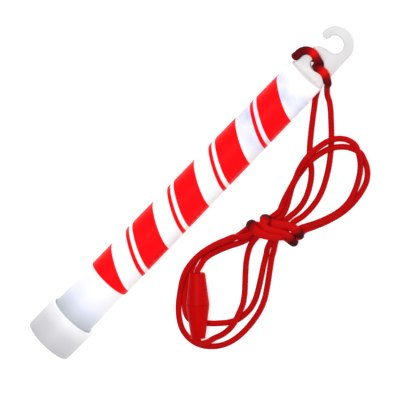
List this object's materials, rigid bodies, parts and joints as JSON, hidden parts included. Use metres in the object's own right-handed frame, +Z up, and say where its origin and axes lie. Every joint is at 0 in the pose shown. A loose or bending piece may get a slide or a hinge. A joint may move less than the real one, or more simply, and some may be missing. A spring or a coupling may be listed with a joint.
{
  "type": "chemical light stick",
  "caption": "Capped translucent light stick with a spiral stripe and an end hook, on a folded cord lanyard with a barrel breakaway clasp.",
  "frame": {"origin": "on the surface that the stick lies on, under the middle of the stick, lanyard left out", "axes": "+Y along the stick from the capped end to the hook, +X towards the folded lanyard, +Z up"},
  "size_m": [0.0558, 0.1521, 0.0182],
  "materials": {
    "tube_plastic": "moulded translucent white polyethylene",
    "stripe_print": "printed film, red bands on clear",
    "cap_plastic": "moulded opaque white polyethylene",
    "ampoule_glass": "thin drawn glass",
    "activator": "clear liquid",
    "dye": "clear liquid, faintly blue",
    "lanyard_cord": "soft braided polyester cord",
    "clasp_plastic": "moulded red plastic"
  },
  "bodies": {
    "stick": {"tube_and_hook": "tube_plastic", "stripe_film": "stripe_print", "end_cap": "cap_plastic", "tube_plug": "cap_plastic", "dye_solution": "dye", "lanyard_hitch_arch": "lanyard_cord", "lanyard_hitch_lobe": "lanyard_cord", "lanyard_strand_one": "lanyard_cord", "lanyard_strand_two": "lanyard_cord", "lanyard_right_loops": "lanyard_cord", "lanyard_outer_loop": "lanyard_cord", "lanyard_inner_loop": "lanyard_cord", "lanyard_lead_upper": "lanyard_cord", "lanyard_lead_lower": "lanyard_cord", "lanyard_tie": "lanyard_cord", "clasp_socket": "clasp_plastic", "stop_knot_upper": "lanyard_cord"},
    "ampoule": {"ampoule": "ampoule_glass", "activator_fluid": "activator"},
    "clasp_half": {"clasp_pin": "clasp_plastic", "stop_knot_lower": "lanyard_cord"}
  },
  "joints": [
    {"name": "ampoule_slide", "type": "slide", "parent": "stick", "child": "ampoule", "axis": [0, 0.9998, -0.0174], "range_m": [-0.006, 0.0055]},
    {"name": "clasp_release", "type": "slide", "parent": "stick", "child": "clasp_half", "axis": [0.7031, -0.7075, 0.0708], "range_m": [0, 0.008], "deforming": ["lanyard_lead_lower"]}
  ]
}
